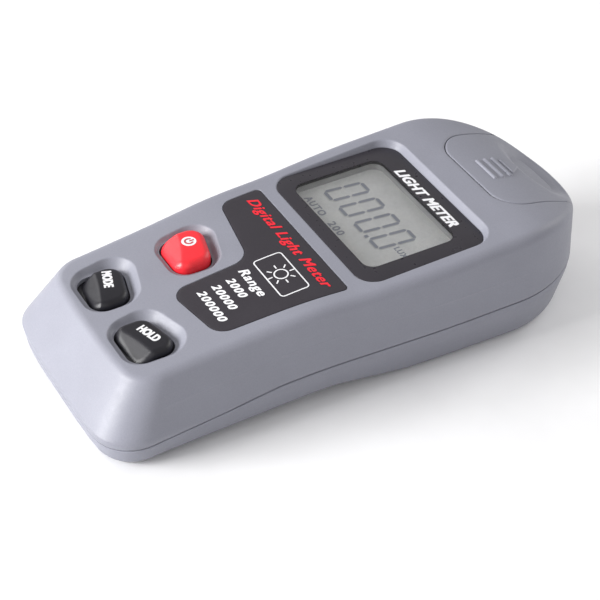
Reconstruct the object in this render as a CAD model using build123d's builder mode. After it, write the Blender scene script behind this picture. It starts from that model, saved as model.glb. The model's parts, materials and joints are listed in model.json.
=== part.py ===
"""Handheld light meter: two moulded shells, a sliding sensor cover, three keys and what they hold.

Everything is laid out in the deck frame: x to the reader's right, y toward the sensor end and z out of
the display, with its origin in the middle of the display window's outer face. The deck leans toward the
reader, because the meter lies on the belly of its rear shell and on a low foot at the tail.
"""

import math
import os

from build123d import *

# ---- driving dimensions, in millimetres and degrees ----
tilt = 2.0  # lean of the deck over the surface that the meter lies on
deck_height = 24.2  # height of the deck's origin over that surface
deck_shift = 13.97  # places the origin of the row under the middle of the meter
wall = 1.8  # wall of both shells

# top surface, along the meter
bend_y, handle_slope = -27.5, 0.11  # the handle falls away from here toward the tail
rise_y, rise_slope = -16.0, 0.05  # the head rises from here over the display
crest_y = 20.0  # where the head starts to round down
head_drop, head_end_y = -6.6, 46.0  # height of the top at the sensor end, and past that end
top_blend = 110.0

# plan of the shells at three heights: (height, tail end, tail half, waist half, head half, corner)
section_levels = (
    (4.0, -60.7, 17.0, 21.9, 24.4, 5.0),
    (-15.0, -74.2, 25.2, 24.1, 25.4, 9.0),
    (-26.0, -72.6, 23.4, 22.2, 22.8, 8.0),
)
tail_bow = 1.2  # how far the tail end bows out
waist_y, shoulder_y, head_centre_y = -27.0, 2.0, 19.8
side_blend = 45.0
top_round, back_round = 2.4, 2.6

# back, along the meter
handle_back = -21.2
foot_end_y, foot_top_y = -68.0, -63.5
belly_y, belly_top_y = -6.0, -23.0
back_blend = 20.0

# parting line between the shells
part_level, part_bend_y, part_slope = -13.9, -36.0, 0.091

# display stack, sunk into the head
window_size, window_corner, window_thick = (39.8, 30.2), 4.5, 1.2
view_size, view_centre, view_corner = (33.4, 23.6), (0.4, -1.6), 2.5
tape_thick, tape_inset, tape_reach = 0.2, 0.4, 1.2
pocket_play, pocket_slant, pocket_rise = 0.2, 25.0, 3.0
ledge_half, ledge_ends, ledge_under = 21.8, (-17.2, 17.4), -2.6
lcd_size, lcd_top, lcd_thick = (37.0, 28.0), -2.8, 2.0
lcd_frame_size, lcd_frame_play = (38.6, 31.0), 0.1
reflector_size, reflector_thick = (33.0, 22.0), 0.3
zebra_size, zebra_offset = (34.0, 2.0), 12.8

# board
board_top, board_thick = -7.5, 0.8
board_half, board_tail_half = 18.8, 16.8
board_head_y, board_step_y, board_tail_y = 20.6, -17.2, -64.5

# keys: (name, x, y, side of its high corner, top height, dimple floor height)
key_specs = (
    ("power", -8.6, -39.6, -1, 0.1, -2.5),
    ("mode", -8.8, -58.0, -1, -3.2, -4.9),
    ("hold", 8.8, -58.0, 1, -3.2, -4.9),
)
key_width, key_inner, key_outer, key_corner = 11.0, 7.6, 10.4, 3.0
key_low = 5.2  # from a key's middle to its edge nearest the tail
key_gap, key_edge = 0.3, 0.7
key_foot, key_flange, key_flange_reach, key_stop_gap = -6.4, 0.5, 0.9, 0.1
well_under, well_wall = -5.8, 2.2
dimple_reach, dimple_slant, dimple_rise = 0.8, 38.0, 6.0
switch_size, switch_height, switch_shift = 4.5, 0.55, -0.5
plunger_r, plunger_play = 1.0, 0.05

# label
label_thick, label_play = 0.22, 0.12
label_top_y, label_half = -18.2, 18.8
label_foot_half, label_foot_y = 16.6, -46.2
label_step_x, label_point_y = 0.5, -48.8
label_wing_half, label_wing_y, label_inner_y = 18.1, -27.8, -30.9
label_corner, label_tip = 3.0, 1.0

# sensor cover and what is under it
cover_half, cover_tail_y, cover_corner = 14.0, 22.5, 6.5
cover_wall, cover_gap, cover_bottom = 1.6, 0.15, -9.2
skirt_thick, skirt_tail_y, skirt_bottom = 1.3, 29.0, -7.0
rail_level, rail_height, rail_reach, rail_ends = -6.2, 0.8, 0.5, (30.0, 39.0)
bay_floor, bay_floor_thick, bay_wall = -9.5, 1.2, 1.4
sensor_y = 32.2
sensor_board_r, sensor_board_thick = 8.0, 0.8
photodiode_size, photodiode_thick = 7.0, 0.7
filter_r, filter_thick = 5.0, 0.8
dome_base, dome_r, dome_height, dome_wall = -7.0, 7.2, 3.2, 0.9
dome_flange_r, dome_play = 8.1, 0.1
holder_r, holder_bore, holder_top = 9.2, 8.2, -6.5
wire_r, wire_spots, wire_hole_r = 0.35, (-1.5, 1.5), 0.6
wire_sensor_y, wire_board_y, wire_under = 27.0, 18.5, -11.6

# parts under the board
chip_spot, chip_r, chip_thick = (0.0, 2.0), 6.0, 1.3
crystal_spot, crystal_r, crystal_length = (9.0, 9.0), 1.1, 6.0
capacitor_spot, capacitor_r, capacitor_length = (-9.0, 10.0), 2.5, 8.0
trimmer_spot, trimmer_size, trimmer_thick = (11.0, -4.0), 4.2, 2.0
chip_part_spot, chip_part_pitch, chip_part_size = (-11.0, -5.0), (2.4, 3.0), (1.2, 2.0, 0.6)

# batteries
cell_r, cell_length, cell_pitch, cell_level = 5.2, 44.5, 10.8, -14.4
cell_edge = 0.5
nub_r, nub_length = 2.7, 1.0
bay_half, bay_tail_y, bay_head_y, bay_top = 16.6, -65.2, -16.7, -9.1
bay_shell, bay_ceiling = 1.0, 0.7
contact_size, contact_thick = 8.0, 0.4
coil_r, coil_wire_r, coil_turns = 2.6, 0.3, 3
door_half, door_ends, door_inner, door_corner = 17.8, (-66.6, -15.4), -19.9, 3.0
door_gap, ledge_top, ledge_margin = 0.2, -18.7, 1.8
latch_half, latch_ends, latch_top = 3.0, (-17.9, -17.3), -18.6
foam_size, foam_y, foam_thick = (30.0, 9.0), -41.0, 0.25

# fasteners
case_screw_spots = ((20.2, -19.3), (-20.2, -19.3), (18.2, 20.6), (-18.2, 20.6))
boss_r, boss_foot = 1.9, 1.2
screw_r, screw_seat, screw_tip = 1.0, -20.4, -4.6
screw_head_r, screw_head, screw_hole_r, sink_r = 1.5, 0.9, 1.15, 1.7
board_screw_spots = ((12.0, 17.6), (-12.0, 17.6))
board_boss_r, board_screw_r, board_screw_tip = 1.8, 0.8, -4.9
board_screw_head_r, board_screw_head, thread_play = 1.5, 0.8, 0.02
boss_notch = 0.4
cross_width, cross_length, cross_depth = 0.5, 1.0, 0.5

lean = math.radians(tilt)
deck = Plane(
    origin=(0, deck_shift, deck_height),
    x_dir=(1, 0, 0),
    z_dir=(0, -math.sin(lean), math.cos(lean)),
)
side = Plane(origin=deck.origin, x_dir=deck.y_dir, z_dir=(1, 0, 0))
past = 90.0  # longer than anything in the meter


def rest_level(y):
    """Height, in the deck frame, of the surface that the meter lies on."""
    return -(deck_height + y * math.sin(lean)) / math.cos(lean)


def head_level(y):
    """Height of the top surface over the display and the head's flat part."""
    return rise_slope * (y - rise_y)


def section(level, tail_y, tail_half, waist_half, head_half, corner):
    """The plan outline of the shells at one height."""
    corner_y = tail_y + tail_bow
    turns = ((corner_y, corner), (waist_y, side_blend), (shoulder_y, side_blend))
    with BuildSketch(deck.offset(level)) as outline:
        with BuildLine():
            ThreePointArc((-tail_half, corner_y), (0, tail_y), (tail_half, corner_y))
            for s in (1, -1):
                Polyline(
                    (s * tail_half, corner_y),
                    (s * waist_half, waist_y),
                    (s * head_half, shoulder_y),
                    (s * head_half, head_centre_y),
                )
            CenterArc((0, head_centre_y), head_half, 0, 180)
        make_face()
        for y, radius in turns:
            fillet(outline.vertices().filter_by(lambda v: abs(v.Y - y) < 0.01), radius)
    return outline.sketch


def side_profile(inset):
    """The meter seen from its right side, drawn in by inset at the top and at the back."""
    crest = head_level(crest_y)
    with BuildSketch(side) as profile:
        with BuildLine():
            top = FilletPolyline(
                (-past, handle_slope * (-past - bend_y) - inset),
                (bend_y, -inset),
                (rise_y, -inset),
                (crest_y, crest - inset),
                radius=top_blend,
            )
            head = TangentArc(top @ 1, (head_end_y, head_drop - inset), tangent=top % 1)
            back = FilletPolyline(
                (head_end_y, rest_level(head_end_y) + inset),
                (belly_y, rest_level(belly_y) + inset),
                (belly_top_y, handle_back + inset),
                (foot_top_y, handle_back + inset),
                (foot_end_y, rest_level(foot_end_y) + inset),
                (-past, rest_level(-past) + inset),
                radius=back_blend,
            )
            Line(head @ 1, back @ 0)
            Line(back @ 1, top @ 0)
        make_face()
    return profile.sketch


def meter_form(inset):
    """The solid form of the whole case, drawn in by inset on every side."""
    with BuildPart() as form:
        loft(
            [
                section(level, tail + inset, a - inset, b - inset, c - inset, max(corner - inset, 1))
                for level, tail, a, b, c, corner in section_levels
            ],
            ruled=True,
        )
        extrude(side_profile(inset), amount=past, both=True, mode=Mode.INTERSECT)
    return form.part


def block(low, high):
    """A box between two corners given in the deck frame."""
    with BuildPart() as solid:
        with BuildSketch(deck.offset(low[2])):
            with Locations(((low[0] + high[0]) / 2, (low[1] + high[1]) / 2)):
                Rectangle(high[0] - low[0], high[1] - low[1])
        extrude(amount=high[2] - low[2])
    return solid.part


def posts(spots, radius, low, high):
    """Round posts that stand on the deck's normal at each spot."""
    with BuildPart() as solid:
        with BuildSketch(deck.offset(low)):
            with Locations(*spots):
                Circle(radius)
        extrude(amount=high - low)
    return solid.part


def plate(size, corner, centre, low, high):
    """A plate with rounded corners that lies parallel to the deck."""
    with BuildPart() as solid:
        with BuildSketch(deck.offset(low)):
            with Locations(centre):
                RectangleRounded(size[0], size[1], corner)
        extrude(amount=high - low)
    return solid.part


def cover_outline(grow, level):
    """The U shape of the sensor cover, seen from above."""
    half, tail_y = cover_half + grow, cover_tail_y - grow
    with BuildSketch(deck.offset(level)) as outline:
        with BuildLine():
            FilletPolyline(
                (-half, past), (-half, tail_y), (half, tail_y), (half, past), radius=cover_corner
            )
            Line((half, past), (-half, past))
        make_face()
    return outline.sketch


def key_outline(key, level, grow):
    """The outline of one key: square toward the tail, slanted toward the head."""
    name, x, y, high_side, top, floor = key
    half = key_width / 2
    low = y - key_low
    with BuildSketch(deck.offset(level)) as outline:
        with BuildLine():
            Polyline(
                (x - high_side * half, low),
                (x + high_side * half, low),
                (x + high_side * half, low + key_outer),
                (x - high_side * half, low + key_inner),
                close=True,
            )
        make_face()
        fillet(outline.vertices(), key_corner)
        if grow:
            offset(amount=grow)
    return outline.sketch


def label_outline(grow, level):
    """The outline of the handle's label: a wide band with a tongue down its right side."""
    corners = (
        ((-label_half, label_top_y), label_tip),
        ((label_half, label_top_y), label_tip),
        ((label_foot_half, label_foot_y), label_corner + 1),
        ((label_step_x, label_point_y), label_corner),
        ((label_step_x, label_inner_y), label_corner + 1),
        ((-label_wing_half, label_wing_y), label_corner),
    )
    with BuildSketch(deck.offset(level)) as outline:
        with BuildLine():
            FilletPolyline(
                [spot for spot, radius in corners], radius=[radius for spot, radius in corners], close=True
            )
        make_face()
        if grow:
            offset(amount=grow)
    return outline.sketch


def parting(upper):
    """Everything above, or below, the parting line between the shells."""
    end = part_level + part_slope * (-past - part_bend_y)
    far = past if upper else -past
    with BuildPart() as solid:
        with BuildSketch(side):
            with BuildLine():
                Polyline(
                    (-past, end), (part_bend_y, part_level), (past, part_level), (past, far), (-past, far),
                    close=True,
                )
            make_face()
        extrude(amount=past, both=True)
    return solid.part


def edge_ring(solid, up):
    """The edges round the top or the back of the form: each belongs to one of those faces only."""
    faces = solid.faces().filter_by(lambda f: f.normal_at(f.center()).Z * up > 0.75)
    edges = [edge for face in faces for edge in face.edges()]
    places = [edge.center() for edge in edges]
    return [
        edge
        for edge, place in zip(edges, places)
        if sum((place - other).length < 1e-4 for other in places) == 1
    ]


# ---- the whole case as a solid, and its hollow ----
with BuildPart() as form:
    add(meter_form(0))
    fillet(edge_ring(form.part, 1), top_round)
    fillet(edge_ring(form.part, -1), back_round)

with BuildPart() as hollow:
    add(meter_form(wall))

with BuildPart() as under_label:
    add(meter_form(label_thick))

# ---- label, and its bed in the front case ----
with BuildPart() as label_bed:
    extrude(label_outline(label_play, -past), amount=2 * past)
    add(form.part, mode=Mode.INTERSECT)
    add(under_label.part, mode=Mode.SUBTRACT)
    add(parting(True), mode=Mode.INTERSECT)

with BuildPart() as range_label:
    extrude(label_outline(0, -past), amount=2 * past)
    add(form.part, mode=Mode.INTERSECT)
    add(under_label.part, mode=Mode.SUBTRACT)
    add(parting(True), mode=Mode.INTERSECT)

# ---- front case ----
with BuildPart() as front_hollow:
    add(hollow.part)
    add(block((-ledge_half, ledge_ends[0], ledge_under), (ledge_half, ledge_ends[1], past)), mode=Mode.SUBTRACT)
    add(posts(case_screw_spots, boss_r, part_level, past), mode=Mode.SUBTRACT)
    add(posts(board_screw_spots, board_boss_r, board_top, past), mode=Mode.SUBTRACT)
    bay_low = (-cover_half - bay_wall, cover_tail_y - bay_wall, bay_floor - bay_floor_thick)
    add(block(bay_low, (cover_half + bay_wall, past, past)), mode=Mode.SUBTRACT)
    for key in key_specs:
        extrude(key_outline(key, well_under, well_wall), amount=past, mode=Mode.SUBTRACT)

pocket_size = (window_size[0] + pocket_play, window_size[1] + pocket_play)
pocket_floor = -window_thick - tape_thick
with BuildPart() as front_case:
    add(form.part)
    add(parting(True), mode=Mode.INTERSECT)
    add(front_hollow.part, mode=Mode.SUBTRACT)
    # the window's pocket, its slanted rim and the opening over the display
    add(plate(pocket_size, window_corner, (0, 0), pocket_floor, 0), mode=Mode.SUBTRACT)
    with BuildSketch(deck):
        RectangleRounded(pocket_size[0], pocket_size[1], window_corner)
    extrude(amount=pocket_rise, taper=-pocket_slant, mode=Mode.SUBTRACT)
    add(plate(view_size, view_corner, view_centre, ledge_under - 1, 0), mode=Mode.SUBTRACT)
    # the key wells
    for key in key_specs:
        extrude(key_outline(key, well_under - 1, key_gap), amount=past, mode=Mode.SUBTRACT)
        floor = key[-1]
        extrude(
            key_outline(key, floor, dimple_reach), amount=dimple_rise, taper=-dimple_slant, mode=Mode.SUBTRACT
        )
    # the sensor bay, open at the top and at the sensor end, with grooves for the cover's rails
    extrude(cover_outline(cover_gap, bay_floor), amount=past, mode=Mode.SUBTRACT)
    groove = cover_half + rail_reach + cover_gap
    groove_low, groove_high = rail_level - cover_gap, rail_level + rail_height + cover_gap
    add(
        block((-groove, rail_ends[0] - 2 * cover_gap, groove_low), (groove, past, groove_high)),
        mode=Mode.SUBTRACT,
    )
    add(
        posts([(x, wire_sensor_y) for x in wire_spots], wire_hole_r, bay_floor - 2, bay_floor),
        mode=Mode.SUBTRACT,
    )
    # the screw holes
    add(posts(case_screw_spots, screw_r + thread_play, part_level, screw_tip + 0.2), mode=Mode.SUBTRACT)
    add(
        posts(board_screw_spots, board_screw_r + thread_play, board_top, board_screw_tip + 0.2),
        mode=Mode.SUBTRACT,
    )
    add(label_bed.part, mode=Mode.SUBTRACT)

# ---- rear case ----
bay_low = (-bay_half, bay_tail_y, -past)
bay_high = (bay_half, bay_head_y, bay_top)
with BuildPart() as battery_bay:
    add(
        block(
            (bay_low[0] - bay_shell, bay_low[1] - bay_shell, ledge_top),
            (bay_high[0] + bay_shell, bay_high[1] + bay_shell, bay_top + bay_ceiling),
        )
    )
    add(
        block(
            (-door_half - ledge_margin, door_ends[0] - ledge_margin, -past),
            (door_half + ledge_margin, door_ends[1] + ledge_margin, ledge_top),
        )
    )
    add(form.part, mode=Mode.INTERSECT)

with BuildPart() as rear_bosses:
    add(posts(case_screw_spots, boss_r, -past, part_level))
    add(posts(case_screw_spots, sink_r + screw_r, -past, screw_seat + boss_foot))
    add(form.part, mode=Mode.INTERSECT)

with BuildPart() as rear_case:
    add(form.part)
    add(parting(False), mode=Mode.INTERSECT)
    add(hollow.part, mode=Mode.SUBTRACT)
    add(rear_bosses.part)
    add(battery_bay.part)
    # the battery bay, the door's recess and the screw holes
    add(block(bay_low, bay_high), mode=Mode.SUBTRACT)
    recess = (2 * (door_half + door_gap), door_ends[1] - door_ends[0] + 2 * door_gap)
    door_centre = (0, (door_ends[0] + door_ends[1]) / 2)
    add(plate(recess, door_corner + door_gap, door_centre, -past, door_inner + door_gap), mode=Mode.SUBTRACT)
    add(posts(case_screw_spots, screw_hole_r, -past, part_level), mode=Mode.SUBTRACT)
    add(posts(case_screw_spots, sink_r, -past, screw_seat), mode=Mode.SUBTRACT)

# ---- sensor cover ----
with BuildPart() as cover_hollow:
    add(meter_form(cover_wall))
    for s in (1, -1):
        inner = cover_half - skirt_thick
        skirt_low = (min(s * inner, s * past), skirt_tail_y, skirt_bottom)
        add(block(skirt_low, (max(s * inner, s * past), past, past)), mode=Mode.SUBTRACT)

with BuildPart() as sensor_cover:
    extrude(cover_outline(0, cover_bottom), amount=past)
    add(form.part, mode=Mode.INTERSECT)
    add(cover_hollow.part, mode=Mode.SUBTRACT)
    for s in (1, -1):
        rail_x = sorted((s * (cover_half - skirt_thick), s * (cover_half + rail_reach)))
        add(block((rail_x[0], rail_ends[0], rail_level), (rail_x[1], rail_ends[1], rail_level + rail_height)))

# ---- keys, with the switches under them ----
def key_body(key):
    """A key with the flange that keeps it in its well."""
    top = key[4]
    with BuildPart() as solid:
        extrude(key_outline(key, key_foot, 0), amount=top - key_foot)
        fillet(solid.faces().sort_by(Axis.Z)[-1].edges(), key_edge)
        extrude(key_outline(key, key_foot, key_flange_reach), amount=key_flange)
    return solid.part


def switch_spot(key):
    """Where a key's switch sits on the board."""
    return (key[1], key[2] + switch_shift)


with BuildPart() as power_button:
    add(key_body(key_specs[0]))

with BuildPart() as mode_button:
    add(key_body(key_specs[1]))

with BuildPart() as hold_button:
    add(key_body(key_specs[2]))


def switch_body(key):
    """A square switch with a bore for its plunger."""
    with BuildPart() as solid:
        size = (switch_size, switch_size)
        add(plate(size, 0.4, switch_spot(key), board_top, board_top + switch_height))
        bore = plunger_r + plunger_play
        add(posts([switch_spot(key)], bore, board_top, board_top + switch_height), mode=Mode.SUBTRACT)
    return solid.part


def plunger(key):
    """The round plunger between a key and its switch."""
    return posts([switch_spot(key)], plunger_r, board_top + switch_height, key_foot)


with BuildPart() as power_switch:
    add(switch_body(key_specs[0]))

with BuildPart() as mode_switch:
    add(switch_body(key_specs[1]))

with BuildPart() as hold_switch:
    add(switch_body(key_specs[2]))

with BuildPart() as power_plunger:
    add(plunger(key_specs[0]))

with BuildPart() as mode_plunger:
    add(plunger(key_specs[1]))

with BuildPart() as hold_plunger:
    add(plunger(key_specs[2]))

# ---- display stack ----
with BuildPart() as display_window:
    add(plate(window_size, window_corner, (0, 0), -window_thick, 0))

with BuildPart() as window_tape:
    tape_size = (window_size[0] - 2 * tape_inset, window_size[1] - 2 * tape_inset)
    add(plate(tape_size, window_corner - tape_inset, (0, 0), pocket_floor, -window_thick))
    opening = (view_size[0] + tape_reach, view_size[1] + tape_reach)
    add(plate(opening, view_corner, view_centre, pocket_floor, -window_thick), mode=Mode.SUBTRACT)

with BuildPart() as lcd_panel:
    add(plate(lcd_size, 0.5, (0, 0), lcd_top - lcd_thick, lcd_top))

with BuildPart() as lcd_reflector:
    add(plate(reflector_size, 0.5, (0, 0), lcd_top - lcd_thick - reflector_thick, lcd_top - lcd_thick))

with BuildPart() as zebra_strips:
    for s in (1, -1):
        add(plate(zebra_size, 0.3, (0, s * zebra_offset), board_top, lcd_top - lcd_thick))

with BuildPart() as lcd_frame:
    add(plate(lcd_frame_size, 1.0, (0, 0), board_top, ledge_under))
    inner_size = (lcd_size[0] + 2 * lcd_frame_play, lcd_size[1] + 2 * lcd_frame_play)
    add(plate(inner_size, 0.5, (0, 0), board_top, ledge_under), mode=Mode.SUBTRACT)

# ---- board and what is soldered under it ----
board_under = board_top - board_thick
with BuildPart() as main_board:
    add(block((-board_half, board_step_y, board_under), (board_half, board_head_y, board_top)))
    tail = (board_tail_half, board_step_y, board_top)
    add(block((-board_tail_half, board_tail_y, board_under), tail))
    add(posts(case_screw_spots, boss_r + boss_notch, board_under, board_top), mode=Mode.SUBTRACT)
    hole_r = board_screw_r + plunger_play
    add(posts(board_screw_spots, hole_r, board_under, board_top), mode=Mode.SUBTRACT)

with BuildPart() as meter_chip:
    add(posts([chip_spot], chip_r, board_under - chip_thick, board_under))

def lying_can(spot, radius, length):
    """A round can that lies against the board's underside, along the meter."""
    centre = deck.from_local_coords((*spot, board_under - radius))
    with BuildPart() as solid:
        with BuildSketch(Plane(origin=centre, x_dir=deck.x_dir, z_dir=deck.y_dir)):
            Circle(radius)
        extrude(amount=length / 2, both=True)
        fillet(solid.edges(), radius / 5)
    return solid.part


with BuildPart() as quartz_crystal:
    add(lying_can(crystal_spot, crystal_r, crystal_length))

with BuildPart() as electrolytic_capacitor:
    add(lying_can(capacitor_spot, capacitor_r, capacitor_length))

with BuildPart() as trim_pot:
    size = (trimmer_size, trimmer_size)
    add(plate(size, 0.4, trimmer_spot, board_under - trimmer_thick, board_under))
    slot = (trimmer_size / 2, cross_width)
    trimmer_low = board_under - trimmer_thick
    add(plate(slot, 0.1, trimmer_spot, trimmer_low, trimmer_low + cross_depth), mode=Mode.SUBTRACT)

with BuildPart() as smd_parts:
    for i in range(3):
        for j in range(2):
            spot = (
                chip_part_spot[0] + (i - 1) * chip_part_pitch[0],
                chip_part_spot[1] + (j - 0.5) * chip_part_pitch[1],
            )
            size_x, size_y, height = chip_part_size
            add(plate((size_x, size_y), 0.15, spot, board_under - height, board_under))

# ---- sensor ----
sensor_spot = [(0, sensor_y)]
sensor_top = bay_floor + sensor_board_thick
diode_top = sensor_top + photodiode_thick
with BuildPart() as sensor_board:
    add(posts(sensor_spot, sensor_board_r, bay_floor, sensor_top))

with BuildPart() as photodiode:
    add(plate((photodiode_size, photodiode_size), 0.5, sensor_spot[0], sensor_top, diode_top))

with BuildPart() as sensor_filter:
    add(posts(sensor_spot, filter_r, diode_top, diode_top + filter_thick))

ball_r = (dome_r**2 + dome_height**2) / (2 * dome_height)
ball_level = dome_base + dome_height - ball_r
dome_inner = dome_r - dome_wall


def dome_level(x, radius):
    """Height of a ball of that radius, at a distance from the dome's axis."""
    return ball_level + math.sqrt(radius**2 - x**2)


with BuildPart() as sensor_dome:
    sensor_centre = deck.from_local_coords((0, sensor_y, 0))
    with BuildSketch(Plane(origin=sensor_centre, x_dir=deck.x_dir, z_dir=-deck.y_dir)):
        with BuildLine():
            ThreePointArc(*[(x, dome_level(x, ball_r)) for x in (dome_r, dome_r / 2, 0)])
            thin_r = ball_r - dome_wall
            ThreePointArc(*[(x, dome_level(x, thin_r)) for x in (0, dome_inner / 2, dome_inner)])
            Line((0, dome_level(0, ball_r)), (0, dome_level(0, thin_r)))
            Polyline(
                (dome_inner, dome_level(dome_inner, thin_r)),
                (dome_inner, sensor_top),
                (dome_flange_r, sensor_top),
                (dome_flange_r, dome_base),
                (dome_r, dome_base),
            )
        make_face()
    revolve(axis=Axis(sensor_centre, deck.z_dir))

with BuildPart() as sensor_holder:
    add(posts(sensor_spot, holder_r, bay_floor, holder_top))
    add(posts(sensor_spot, holder_bore, bay_floor, dome_base), mode=Mode.SUBTRACT)
    add(posts(sensor_spot, dome_r + dome_play, dome_base, holder_top), mode=Mode.SUBTRACT)

with BuildPart() as sensor_pins:
    for x in wire_spots:
        with BuildLine() as wire:
            FilletPolyline(
                deck.from_local_coords((x, wire_sensor_y, bay_floor)),
                deck.from_local_coords((x, wire_sensor_y, wire_under)),
                deck.from_local_coords((x, wire_board_y, wire_under)),
                deck.from_local_coords((x, wire_board_y, board_under)),
                radius=1.0,
            )
        with BuildSketch(Plane(origin=wire.line @ 0, z_dir=wire.line % 0)):
            Circle(wire_r)
        sweep(path=wire.line)

# ---- batteries, their contacts and the door ----
def bay_plane(x, y):
    """A plane across the battery bay, facing the sensor end."""
    return Plane(origin=deck.from_local_coords((x, y, cell_level)), x_dir=deck.x_dir, z_dir=deck.y_dir)


def cell(x, toward_head):
    """One battery, its raised end toward the head or toward the tail."""
    start = bay_head_y - contact_thick if toward_head else bay_tail_y + contact_thick
    turn = -1 if toward_head else 1
    with BuildPart() as solid:
        with BuildSketch(bay_plane(x, start + turn * nub_length)):
            Circle(cell_r)
        extrude(amount=turn * (cell_length - nub_length))
        fillet(solid.edges(), cell_edge)
        with BuildSketch(bay_plane(x, start)):
            Circle(nub_r)
        extrude(amount=turn * nub_length)
    return solid.part


with BuildPart() as cell_left:
    add(cell(-cell_pitch, True))

with BuildPart() as cell_middle:
    add(cell(0, False))

with BuildPart() as cell_right:
    add(cell(cell_pitch, True))

with BuildPart() as battery_plates:
    for y, x, wide in (
        (bay_tail_y, -cell_pitch / 2, 1),
        (bay_tail_y, cell_pitch, 0),
        (bay_head_y - contact_thick, -cell_pitch, 0),
        (bay_head_y - contact_thick, cell_pitch / 2, 1),
    ):
        with BuildSketch(bay_plane(x, y)):
            RectangleRounded(contact_size + wide * cell_pitch, contact_size, 1.0)
        extrude(amount=contact_thick)

with BuildPart() as battery_springs:
    gap = bay_head_y - bay_tail_y - 2 * contact_thick - cell_length
    climb = gap - 2 * coil_wire_r
    for x, y in (
        (-cell_pitch, bay_tail_y + contact_thick),
        (0, bay_head_y - contact_thick - gap),
        (cell_pitch, bay_tail_y + contact_thick),
    ):
        base = bay_plane(x, y + coil_wire_r)
        coil = base.location * Helix(climb / coil_turns, climb, coil_r)
        with BuildSketch(Plane(origin=coil @ 0, z_dir=coil % 0)):
            Circle(coil_wire_r)
        sweep(path=coil, is_frenet=True)

with BuildPart() as battery_door:
    door_size = (2 * door_half, door_ends[1] - door_ends[0])
    add(plate(door_size, door_corner, door_centre, -past, door_inner))
    add(form.part, mode=Mode.INTERSECT)
    add(block((-latch_half, latch_ends[0], door_inner), (latch_half, latch_ends[1], latch_top)))

with BuildPart() as door_foam:
    add(plate(foam_size, 1.0, (0, foam_y), door_inner, door_inner + foam_thick))

# ---- fasteners ----
def screw(spots, shank, head, seat, tip, head_height):
    """Screws driven from the back, with a cross in each head."""
    with BuildPart() as solid:
        add(posts(spots, shank, seat, tip))
        add(posts(spots, head, seat - head_height, seat))
        for turn in (0, 90):
            with BuildSketch(deck.offset(seat - head_height)):
                with Locations(*spots):
                    Rectangle(2 * cross_length, cross_width, rotation=turn)
            extrude(amount=cross_depth, mode=Mode.SUBTRACT)
    return solid.part


with BuildPart() as case_screws:
    add(screw(case_screw_spots, screw_r, screw_head_r, screw_seat, screw_tip, screw_head))

with BuildPart() as board_screws:
    add(
        screw(
            board_screw_spots, board_screw_r, board_screw_head_r, board_under, board_screw_tip, board_screw_head
        )
    )

# ---- one file for each piece ----
pieces = {
    "front_case": front_case,
    "rear_case": rear_case,
    "sensor_cover": sensor_cover,
    "range_label": range_label,
    "power_button": power_button,
    "mode_button": mode_button,
    "hold_button": hold_button,
    "power_switch": power_switch,
    "mode_switch": mode_switch,
    "hold_switch": hold_switch,
    "power_plunger": power_plunger,
    "mode_plunger": mode_plunger,
    "hold_plunger": hold_plunger,
    "display_window": display_window,
    "window_tape": window_tape,
    "lcd_panel": lcd_panel,
    "lcd_reflector": lcd_reflector,
    "zebra_strips": zebra_strips,
    "lcd_frame": lcd_frame,
    "main_board": main_board,
    "meter_chip": meter_chip,
    "quartz_crystal": quartz_crystal,
    "electrolytic_capacitor": electrolytic_capacitor,
    "trim_pot": trim_pot,
    "smd_parts": smd_parts,
    "sensor_board": sensor_board,
    "photodiode": photodiode,
    "sensor_filter": sensor_filter,
    "sensor_dome": sensor_dome,
    "sensor_holder": sensor_holder,
    "sensor_pins": sensor_pins,
    "cell_left": cell_left,
    "cell_middle": cell_middle,
    "cell_right": cell_right,
    "battery_plates": battery_plates,
    "battery_springs": battery_springs,
    "battery_door": battery_door,
    "door_foam": door_foam,
    "case_screws": case_screws,
    "board_screws": board_screws,
}
os.makedirs("parts", exist_ok=True)
for name, piece in pieces.items():
    piece.part.label = name
    export_step(piece.part, f"parts/{name}.step")
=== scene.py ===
"""Looks of a handheld light meter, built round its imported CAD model."""

import json
import math

import bmesh
import bpy
import numpy as np
from mathutils import Matrix, Vector
from mathutils.geometry import delaunay_2d_cdt


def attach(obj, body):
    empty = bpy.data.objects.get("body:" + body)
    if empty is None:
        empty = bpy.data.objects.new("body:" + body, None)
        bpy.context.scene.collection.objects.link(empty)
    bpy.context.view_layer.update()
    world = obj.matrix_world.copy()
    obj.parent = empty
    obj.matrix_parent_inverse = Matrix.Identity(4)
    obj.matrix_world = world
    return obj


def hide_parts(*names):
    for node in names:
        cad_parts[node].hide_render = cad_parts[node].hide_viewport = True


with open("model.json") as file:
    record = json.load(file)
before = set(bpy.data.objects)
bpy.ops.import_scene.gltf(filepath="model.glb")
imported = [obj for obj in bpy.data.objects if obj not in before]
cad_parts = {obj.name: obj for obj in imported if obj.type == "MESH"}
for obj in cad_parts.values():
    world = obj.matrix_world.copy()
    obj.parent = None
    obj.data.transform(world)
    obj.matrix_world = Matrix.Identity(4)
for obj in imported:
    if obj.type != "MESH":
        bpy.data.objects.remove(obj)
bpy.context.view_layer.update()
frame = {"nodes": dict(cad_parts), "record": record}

# ---- the deck frame: millimetres, x right, y toward the sensor, z out of the display ----
LEAN = math.radians(2.0)
DECK_SHIFT, DECK_HEIGHT = 13.97, 24.2
DECK_Y = np.array((0, math.cos(LEAN), math.sin(LEAN)))
DECK_Z = np.array((0, -math.sin(LEAN), math.cos(LEAN)))

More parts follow.
